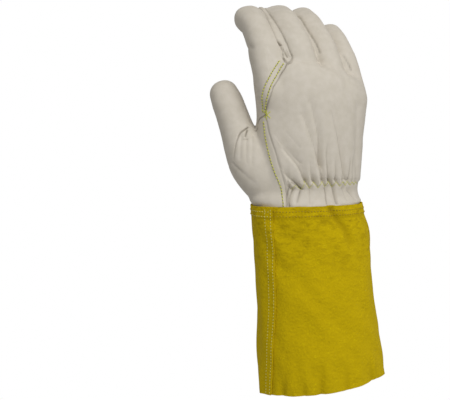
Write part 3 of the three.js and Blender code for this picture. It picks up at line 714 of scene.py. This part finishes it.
def colour_between(tree, share, first, second):
    """An output with a colour between two. A Mix node keeps its colours in inputs 6 and 7 and output 2."""
    mix = put(tree, "ShaderNodeMix", {"data_type": "RGBA"}, share)
    feed(tree, mix.inputs[6], first)
    feed(tree, mix.inputs[7], second)
    return mix.outputs[2]


def group(name, inputs, outputs):
    """An empty node group, with its given inputs and the inputs of its output node."""
    tree = bpy.data.node_groups.new(name, "ShaderNodeTree")
    for socket, kind in inputs:
        tree.interface.new_socket(socket, in_out="INPUT", socket_type="NodeSocket" + kind)
    for socket, kind in outputs:
        tree.interface.new_socket(socket, in_out="OUTPUT", socket_type="NodeSocket" + kind)
    return tree, tree.nodes.new("NodeGroupInput").outputs, tree.nodes.new("NodeGroupOutput").inputs


# Small soft specks of a lighter colour on a darker one
mottle, given, out = group(
    "hide_mottle",
    [("Dark", "Color"), ("Light", "Color"), ("Specks", "Float"), ("Lightness", "Float")],
    [("Colour", "Color")])
place = put(mottle, "ShaderNodeTexCoord").outputs["Object"]
specks = put(mottle, "ShaderNodeTexNoise", None, Vector=place, Scale=given["Specks"], Detail=2.0)
share = put(mottle, "ShaderNodeMath", {"operation": "MULTIPLY"}, specks.outputs[0], given["Lightness"])
share = put(mottle, "ShaderNodeMapRange", None, Value=share.outputs[0], From_Min=0.3, From_Max=0.7)
feed(mottle, out["Colour"], colour_between(mottle, share.outputs[0], given["Dark"], given["Light"]))


def linear(r, g, b):
    """A screen colour from 0 to 255 as the light it stands for."""
    return (*[((c / 255 + 0.055) / 1.055) ** 2.4 if c > 10 else c / 255 / 12.92 for c in (r, g, b)], 1)


def material_called(name):
    """A new material, its node tree and its shader."""
    made = bpy.data.materials.new(name)
    made.use_nodes = True
    return made, made.node_tree, made.node_tree.nodes["Principled BSDF"]


leather, tree, shader = material_called("grain_leather")
hide = put(
    tree, "ShaderNodeGroup", {"node_tree": mottle}, linear(199, 191, 176), linear(207, 199, 186), 160, 0.88)
# Painted shade: the creases, the seam grooves, the lap's edge and the puffs' flanks are mixed toward a shaded
# brown.
shade_paint = put(tree, "ShaderNodeAttribute", {"attribute_name": "painted_shade"})
shaded = colour_between(tree, shade_paint.outputs["Fac"], hide.outputs[0], linear(112, 104, 88))
feed(tree, shader.inputs["Base Color"], shaded)
place = put(tree, "ShaderNodeTexCoord").outputs["Object"]
pores = put(tree, "ShaderNodeTexNoise", None, Vector=place, Scale=700, Detail=3.0)
bump = put(tree, "ShaderNodeBump", None, Strength=0.25, Distance=0.0004, Height=pores.outputs[0])
feed(tree, shader.inputs["Normal"], bump.outputs[0])
feed(tree, shader.inputs["Roughness"], 0.62)


def seam_shows(name, vert):
    """How much of a seam shows at a point of a panel: all, or less toward the back where it is quiet."""
    quiet = name in QUIET_PANELS or any(inside(vert.co, low, high) for low, high in QUIET_AREAS)
    return float(smooth(vert.normal.y / QUIET_TURN)) if quiet else 1


panels = {}
for number, name in enumerate(NODES, 1):
    bm = panel(number % len(NODES))
    own = bm.verts.layers.float[name]
    lap = bm.verts.layers.float["lap"]
    shade_paint = bm.verts.layers.float["painted_shade"]
    for v in bm.verts:
        at_seam = math.exp(-(v[own] / SEAM["width"]) ** 2)
        shows = seam_shows(name, v)
        out, dark = -SEAM["sinks"] * at_seam * shows, SEAM["dark"] * shows
        by_lap = v.normal.y < LAP["faces"] and inside(v.co, *LAP_AREA)
        if by_lap and name in ("palm_panel", "back_panel"):
            starts_softly = float(smooth((v.co.z - LAP_AREA[0][2]) / LAP["starts_over"]))
            dark += (LAP["dark"] - dark) * starts_softly
            if name == "palm_panel":
                on_lap = starts_softly * float(1 - smooth((v[lap] - LAP["flat"]) / LAP["fades"]))
                out += (LAP["stands_out"] - out) * on_lap
        # Painted shade along the seam, and the lap's painted shadow.
        v[shade_paint] = max(v[shade_paint], dark * math.exp(-(v[own] / SEAM["line"]) ** 2))
        v.co += v.normal * out
    panels[name] = BVHTree.FromBMesh(bm)
    piece = walled(bm, LEATHER_NAMES[name], LEATHER_WALL, leather)
    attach(piece, "root")
    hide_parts(name)
skin.free()


# The cuff
# A long gauntlet of mustard-yellow suede split, in two panels: the palm panel laps over the back panel down
# the thumb side, where two rows of stitches hold it, and the other side is sewn inside out and turned.
CUFF_ROWS = [  # z, x, half width, half depth, tip, lift of the sides
    (0, 0.6, 53, 33.6, 0, 0),
    (-8.6, 1.8, 53.8, 34, 0.2, 0),
    (-9.6, 1.9, 54, 34.1, 0.2, 0),
    (-24, 4.5, 55.4, 35.2, 0.5, 0),
    (-50, 7.1, 55.7, 36.6, 1, 0),
    (-86, 9.8, 56.4, 38.4, 1.8, 0),
    (-122, 13.3, 58.8, 40.2, 3, 0.5),
    (-150, 16.3, 60.9, 41.4, 4.8, 2),
    (-171, 18, 61.7, 42, 6.8, 4),
]
CUFF = {"wall": 1.5, "length": 171, "square": 2.1, "low_starts": 60, "low_over": 100}
CUFF_RIM = {"rises": 2.2, "over": 20}  # the top edge, highest at the back of the hand
CUFF_EDGE = {"pointed": 0.3, "front_rises": 2.3, "corner_drops": 4.5}  # the lower end, toward its turned seam
# CUFF_HEM's line, line width and dark paint a line of shadow under the turned hem's edge.
CUFF_HEM = {"stands_out": 0.5, "width": 8.5, "step": 1.5, "line": 9, "line_width": 0.9, "dark": 0.3}
CUFF_LAP = {
    "z": (-171, -95, -50, 0), "angle": (203, 214, 217.2, 221), "width": 15, "climb": 14, "tucked": 13,
    "clear": 0.3,
}
CUFF_WAVES = {"radius": 6.4, "length": 60, "height": 2.2}
CUFF_WAVES_LOW = {"starts": 110, "over": 60}
CUFF_DENTS = {"radius": 3.2, "length": 34, "height": 1.8}
CUFF_DENTS_TURN = {"twist": 110, "top_fades": 25}
# The cuff creases' darkness is painted shade in the crease.
CUFF_FOLDS = [  # x and z on the back, depth at the two ends, width to the right and left, darkness
    ([(12, -1), (16.5, -9), (26, -20), (31.7, -34)], (2.6, 1.0), (3.5, 3.5), 0.25),
    ([(-17, -3), (-19.9, -12), (-24.6, -28)], (1.2, 0.6), (5, 5), 0.15),
    ([(2, -170), (2.3, -157), (2.6, -139)], (2.0, 0.2), (1.6, 4), 0.15),
    ([(28, -168), (27.4, -157), (25.7, -141)], (2.0, 0.2), (1.6, 4), 0.15),
    ([(56, -162), (54.7, -154), (52.6, -139)], (1.6, 0.2), (1.6, 3), 0.15),
    ([(-13.5, -170), (-13.8, -161), (-14.5, -148)], (1.6, 0.2), (1.6, 3), 0.15),
    ([(-30, -170), (-29.8, -162), (-29.4, -143)], (1.2, 0.2), (1.6, 3), 0.15),
]
TURNED_SEAM = {"angle": 12, "edge": 0.3, "dip": 1.1, "width": 4}
ANGLE_SHARE = 0.8  # angle to length along the flattened section, against a round one
CUFF_STEP = 1.4  # side of the cuff's faces


def cuff_row(z):
    heights = [-row[0] for row in CUFF_ROWS]
    return between(CUFF_ROWS, np.interp(-z, heights, range(len(heights))))


def cuff_point(row, degrees, out):
    """A point of the cuff at an angle round a section, moved outward by out."""
    z, x, half_width, half_depth, tip, lift = row
    low = float(smooth((-z - CUFF["low_starts"]) / CUFF["low_over"]))
    toward_seam = max(math.cos(math.radians(degrees)), 0) ** 2
    square = CUFF["square"] - CUFF_EDGE["pointed"] * toward_seam * low
    u, v = outline(math.radians(degrees), half_width, half_depth, half_depth, square)

    def slope(at, half):
        return math.copysign((abs(at) / half) ** (square - 1), at) / half

    normal = Vector((slope(u, half_width), slope(v, half_depth))).normalized()
    across, tip = u + normal.x * out, math.radians(tip)
    to_back, to_seam = max(-v / half_depth, 0), max(u / half_width, 0)
    height = z + across * math.sin(tip) + lift * (u / half_width) ** 2
    height += CUFF_RIM["rises"] * float(smooth(1 + z / CUFF_RIM["over"])) * (1 + to_back) / 2
    height += low * (CUFF_EDGE["front_rises"] * to_back - CUFF_EDGE["corner_drops"] * to_seam ** 8)
    return Vector((x + across * math.cos(tip), v + normal.y * out, height))


def lap_angle(z):
    return float(np.interp(z, CUFF_LAP["z"], CUFF_LAP["angle"]))


def degrees_over(row, length):
    return math.degrees(length / row[3]) * ANGLE_SHARE


def hem_out(z):
    return CUFF_HEM["stands_out"] * float(1 - smooth((-z - CUFF_HEM["width"]) / CUFF_HEM["step"]))


def seam_dip(row, from_seam):
    return TURNED_SEAM["dip"] * (smooth(abs(from_seam) / degrees_over(row, TURNED_SEAM["width"])) - 1)


def cuff_waves(degrees, z):
    """Wrinkles of the soft suede, deepest toward its free lower edge, and slow dents further up."""

    def wave(turn, radius, length, height):
        return noise.noise(Vector((radius * math.cos(turn), radius * math.sin(turn), z / length))) * height

    turn = math.radians(degrees)
    folds = wave(turn, **CUFF_WAVES) * smooth((-z - CUFF_WAVES_LOW["starts"]) / CUFF_WAVES_LOW["over"])
    dents = wave(turn + z / CUFF_DENTS_TURN["twist"], **CUFF_DENTS)
    return float(folds + dents * smooth(-z / CUFF_DENTS_TURN["top_fades"]))


def palm_side(z, share):
    row = cuff_row(z)
    start = TURNED_SEAM["angle"] + TURNED_SEAM["edge"]
    end = lap_angle(z)
    degrees = start + (end - start) * share
    before_lap = end - degrees - degrees_over(row, CUFF_LAP["width"])
    over = CUFF["wall"] + CUFF_LAP["clear"] + hem_out(z)
    climb = over * (1 - smooth(before_lap / degrees_over(row, CUFF_LAP["climb"])))
    return row, degrees, climb + seam_dip(row, degrees - start)


def back_side(z, share):
    row = cuff_row(z)
    start = lap_angle(z) - degrees_over(row, CUFF_LAP["tucked"])
    end = 360 + TURNED_SEAM["angle"] - TURNED_SEAM["edge"]
    degrees = start + (end - start) * share
    return row, degrees, seam_dip(row, degrees - end)


def cuff_panel(across, side, creases):
    """The outer face of a panel about as wide as across, laid round the cuff by one of the two sides."""
    columns, rows = round(across / CUFF_STEP), round(CUFF["length"] / CUFF_STEP)
    bm = bmesh.new()
    bmesh.ops.create_grid(bm, x_segments=columns, y_segments=rows, size=0.5)
    for v in bm.verts:
        z = (v.co.y - 0.5) * CUFF["length"]
        row, degrees, out = side(z, v.co.x + 0.5)
        v.co = cuff_point(row, degrees, out + hem_out(z) + cuff_waves(degrees, z))
    bm.normal_update()
    tree = BVHTree.FromBMesh(bm)
    spots, outward = (np.array([getattr(v, kind) for v in bm.verts]) for kind in ("co", "normal"))
    painted_cuff_shade = bm.verts.layers.float.new("painted_shade")
    for path, depth, width, dark in creases:
        distance, share, right = near_line(spots, on_surface([tree], curve_through(path)), outward)
        deep = depth[0] + (depth[1] - depth[0]) * share
        for v, sunk in zip(bm.verts, deep * np.exp(-(distance / np.where(right > 0, *width)) ** 2)):
            v.co -= v.normal * sunk
            v[painted_cuff_shade] = max(v[painted_cuff_shade], dark * sunk)
    # Painted shadow along the line under the turned hem.
    for v, (_, _, z) in zip(bm.verts, spots):
        from_line = (z + CUFF_HEM["line"]) / CUFF_HEM["line_width"]
        v[painted_cuff_shade] = max(v[painted_cuff_shade], CUFF_HEM["dark"] * math.exp(-from_line ** 2))
    bm.normal_update()
    return bm


# Mottled suede, in slanting streaks of a deeper tone, most below the hem, with painted shade in its creases
# and under the turned hem
suede, tree, shader = material_called("suede_split")
hide = put(tree, "ShaderNodeGroup", {"node_tree": mottle}, linear(196, 169, 0), linear(255, 240, 6), 520, 0.5)
place = put(tree, "ShaderNodeTexCoord").outputs["Object"]
slanted = put(tree, "ShaderNodeMapping", None, Vector=place, Rotation=(0, -0.6, 0), Scale=(0.6, 1, 1.4))
streaks = put(
    tree, "ShaderNodeTexNoise", None, Vector=slanted.outputs[0], Scale=190, Detail=4.0, Roughness=0.7)
streaks = put(tree, "ShaderNodeMapRange", None, Value=streaks.outputs[0], From_Min=0.46, From_Max=0.72)
height = put(tree, "ShaderNodeSeparateXYZ", None, Vector=place).outputs["Z"]
streak_tone = put(
    tree, "ShaderNodeMapRange", None,
    Value=height, From_Min=-0.07, From_Max=-0.01, To_Min=0.2, To_Max=0.65)
streak_tone = put(tree, "ShaderNodeMath", {"operation": "MULTIPLY"}, streaks.outputs[0], streak_tone.outputs[0])
# Painted shade from the creases and the hem's line, taken with the streaks, mixed toward a shaded mustard.
shade_paint = put(tree, "ShaderNodeAttribute", {"attribute_name": "painted_shade"})
streaks_and_painted_shade = put(tree, "ShaderNodeMath", {"operation": "MAXIMUM"}, streak_tone.outputs[0], shade_paint.outputs["Fac"])
shaded = colour_between(tree, streaks_and_painted_shade.outputs[0], hide.outputs[0], linear(132, 108, 0))
feed(tree, shader.inputs["Base Color"], shaded)
nap = put(tree, "ShaderNodeTexNoise", None, Vector=place, Scale=450, Detail=4.0)
bump = put(tree, "ShaderNodeBump", None, Strength=0.8, Distance=0.001, Height=nap.outputs[0])
feed(tree, shader.inputs["Normal"], bump.outputs[0])
feed(tree, shader.inputs["Roughness"], 0.95)
feed(tree, shader.inputs["Specular IOR Level"], 0.15)

cuff_trees = {}
for name, node, across, side, creases in (
    ("palm_suede", "cuff_palm", 170, palm_side, []),
    ("back_suede", "cuff_back", 150, back_side, CUFF_FOLDS),
):
    bm = cuff_panel(across, side, creases)
    cuff_trees[node] = BVHTree.FromBMesh(bm)
    piece = walled(bm, name, CUFF["wall"], suede)
    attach(piece, "root")
    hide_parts(node)


# The sewing thread
# Yellow cotton on the hand: two rows along the lap and one on down to the cuff, a bar where the thumb's seam
# starts, and the zigzag over the elastic. Pale thread holds the cuff's lap and its palm side's hem, and
# mustard thread the hem of its back.
LAP_ROWS = [  # x, y and z
    [(-27.6, -4.1, 133.1), (-36, -7.7, 123.8), (-41.6, -9, 113.1), (-44, -6.9, 99.5), (-42.3, -2.7, 86.5)],
    [(-24.7, -6.7, 130.5), (-31.9, -8.4, 121.1), (-38.3, -10.6, 111.3), (-41.3, -9.8, 100.5),
     (-40.8, -4.9, 87.6)],
]
LOW_ROW = [
    (-42.1, -3.7, 78.5), (-41.5, -7.8, 61.5), (-38.8, -12.9, 43.6), (-35.8, -17, 31.2), (-31.7, -20.4, 18.6),
    (-31.1, -24.4, 5.4), (-31, -24.5, 1),
]
BAR = [  # the strokes of the bar at the thumb seam's start
    [(-42.4, -3.8, 87.2), (-37.6, -8.4, 81.2)],
    [(-37.6, -7.8, 87.2), (-42.4, -4.2, 81.2)],
    [(-40, -6, 88.2), (-40, -6.2, 80.4)],
]
HAND_STITCH = {"pitch": 2.9, "length": 2.0, "thick": 1.35}
ZIGZAG_STITCH = {"pitch": 1.9, "length": 1.9, "thick": 0.55}
BAR_STITCH = {"pitch": 1.1, "length": 1.7, "thick": 0.9}
CUFF_STITCH = {"pitch": 2.9, "length": 1.9, "thick": 0.85}
CUFF_LAP_INSETS = (1.7, 7.2)
CUFF_HEM_HEIGHTS = (-4.2, -7.6)


def stitch(bm, spot, along, normal, length, thick):
    """A stitch, as a long rounded bead that lies flat along a seam."""
    along = (along - normal * along.dot(normal)).normalized()
    turn = Matrix((along, normal.cross(along), normal)).transposed().to_4x4()
    size = Matrix.Diagonal((length / 2, thick / 2, thick / 2, 1))
    bmesh.ops.create_uvsphere(
        bm, u_segments=6, v_segments=4, radius=1, matrix=Matrix.Translation(spot) @ turn @ size)


def sew(bm, trees, path, pitch, length, thick, holes=None, lifted=0.15, hole_share=0.8):
    """A row of stitches along a path, lying on the leather, and the thread in the needle's holes between,
    whose dark colour is the holes' painted shadow.
    """
    line = on_surface(trees, curve_through(path, 160))
    run = np.concatenate([[0], np.cumsum(np.linalg.norm(np.diff(line, axis=0), axis=1))])
    for at in np.arange(pitch / 2, run[-1], pitch / 2):
        here, ahead = (Vector([np.interp(at + k, run, line[:, i]) for i in range(3)]) for k in (0, 0.3))
        spot, normal, _, _ = min((tree.find_nearest(here) for tree in trees), key=lambda hit: hit[3])
        if round(at / pitch * 2) % 2:
            stitch(bm, spot + normal * thick * lifted, ahead - here, normal, length, thick)
        elif holes is not None:
            stitch(holes, spot, ahead - here, normal, pitch - length, thick * hole_share)


def thread_piece(bm, name, material):
    """All the stitches in a mesh as one piece, in metres."""
    bmesh.ops.scale(bm, vec=(MM, MM, MM), verts=bm.verts)
    piece = object_of(bm, name, material)
    piece.data.shade_smooth()
    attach(piece, "root")


def thread_material(name, dark, light):
    thread, tree, shader = material_called(name)
    strands = put(tree, "ShaderNodeGroup", {"node_tree": mottle}, linear(*dark), linear(*light), 1500, 0.5)
    feed(tree, shader.inputs["Base Color"], strands.outputs[0])
    feed(tree, shader.inputs["Roughness"], 0.7)
    return thread


yellow = thread_material("yellow_thread", (204, 205, 84), (232, 234, 132))
# The thread in the needle's holes is coloured dark olive as painted shadow of the holes.
hole_shadow_thread = thread_material("needle_hole_shadow_thread", (136, 130, 66), (160, 152, 84))
pale = thread_material("pale_thread", (206, 194, 96), (236, 226, 140))
mustard = thread_material("mustard_thread", (168, 140, 8), (206, 178, 20))

bm, holes = bmesh.new(), bmesh.new()
for row in LAP_ROWS + [LOW_ROW]:
    sew(bm, [panels["palm_panel"]], row, **HAND_STITCH, holes=holes)
for a, b in zip(ZIGZAG[1:-2], ZIGZAG[2:-1]):
    sew(bm, [panels["back_panel"]], [a, b], **ZIGZAG_STITCH)
for stroke in BAR:
    sew(bm, [panels["palm_panel"], panels["back_panel"]], stroke, **BAR_STITCH)
thread_piece(bm, "hand_stitches", yellow)
thread_piece(holes, "needle_hole_shadows", hole_shadow_thread)

bm, back_hem = bmesh.new(), bmesh.new()
for inset in CUFF_LAP_INSETS:
    path = []
    for z in np.linspace(-2, -169, 60):
        row = cuff_row(z)
        path.append(cuff_point(row, lap_angle(z) - degrees_over(row, inset), 4))
    sew(bm, [cuff_trees["cuff_palm"]], path, **CUFF_STITCH)
for sewn, node, side, start in ((bm, "cuff_palm", palm_side, 0.02), (back_hem, "cuff_back", back_side, 0.1)):
    for z in CUFF_HEM_HEIGHTS:
        path = []
        for share in np.linspace(start, 0.98, 80):
            row, degrees, out = side(z, share)
            path.append(cuff_point(row, degrees, out + 2))
        sew(sewn, [cuff_trees[node]], path, **CUFF_STITCH)
thread_piece(bm, "cuff_stitches", pale)
thread_piece(back_hem, "cuff_back_hem_stitches", mustard)


# The studio
# A plain pale floor well below the glove, soft light from in front and above, and the photograph's view.
CAMERA = {"place": (-0.4413, -1.2125, 0.1584), "aim": (-0.0706, 0.0262, 0.0037), "lens": 112}
FLOOR = {"level": -0.6, "half_side": 30}
LAMPS = [  # name, place, size, power
    ("key", (0.5, -1.6, 1.5), 1.6, 30),
    ("fill", (-1.5, -1.0, 1.2), 1.4, 3.5),
]

paint, tree, shader = material_called("pale_floor")
feed(tree, shader.inputs["Base Color"], (0.6, 0.6, 0.6, 1))
feed(tree, shader.inputs["Roughness"], 0.9)
glow = put(tree, "ShaderNodeEmission", None, Color=(1, 1, 1, 1), Strength=1.0)
seen = put(tree, "ShaderNodeLightPath").outputs["Is Camera Ray"]
both = put(tree, "ShaderNodeMixShader", None, seen, shader.outputs[0], glow.outputs[0])
feed(tree, tree.nodes["Material Output"].inputs["Surface"], both.outputs[0])

bm = bmesh.new()
bmesh.ops.create_grid(bm, x_segments=1, y_segments=1, size=FLOOR["half_side"])
bmesh.ops.translate(bm, verts=bm.verts, vec=(0, 0, FLOOR["level"]))
floor = object_of(bm, "floor", paint)

world = bpy.data.worlds.new("studio")
bpy.context.scene.world = world
world.use_nodes = True
tree = world.node_tree
seen = put(tree, "ShaderNodeLightPath").outputs["Is Camera Ray"]
strength = put(tree, "ShaderNodeMapRange", None, Value=seen, To_Min=0.42, To_Max=1.0)
background = tree.nodes["Background"]
feed(tree, background.inputs["Color"], (1, 1, 1, 1))
feed(tree, background.inputs["Strength"], strength.outputs[0])

for name, place, size, power in LAMPS:
    light = bpy.data.lights.new(name, "AREA")
    light.shape = "DISK"
    light.size = size
    light.energy = power
    lamp = bpy.data.objects.new(name, light)
    lamp.location = place
    lamp.rotation_euler = (-Vector(place)).to_track_quat("-Z", "Y").to_euler()
    bpy.context.scene.collection.objects.link(lamp)

camera = bpy.data.objects.new("camera", bpy.data.cameras.new("camera"))
camera.data.lens = CAMERA["lens"]
camera.location = CAMERA["place"]
camera.rotation_euler = (Vector(CAMERA["aim"]) - camera.location).to_track_quat("-Z", "Y").to_euler()
bpy.context.scene.collection.objects.link(camera)
bpy.context.scene.camera = camera
bpy.context.scene.view_settings.view_transform = "Standard"
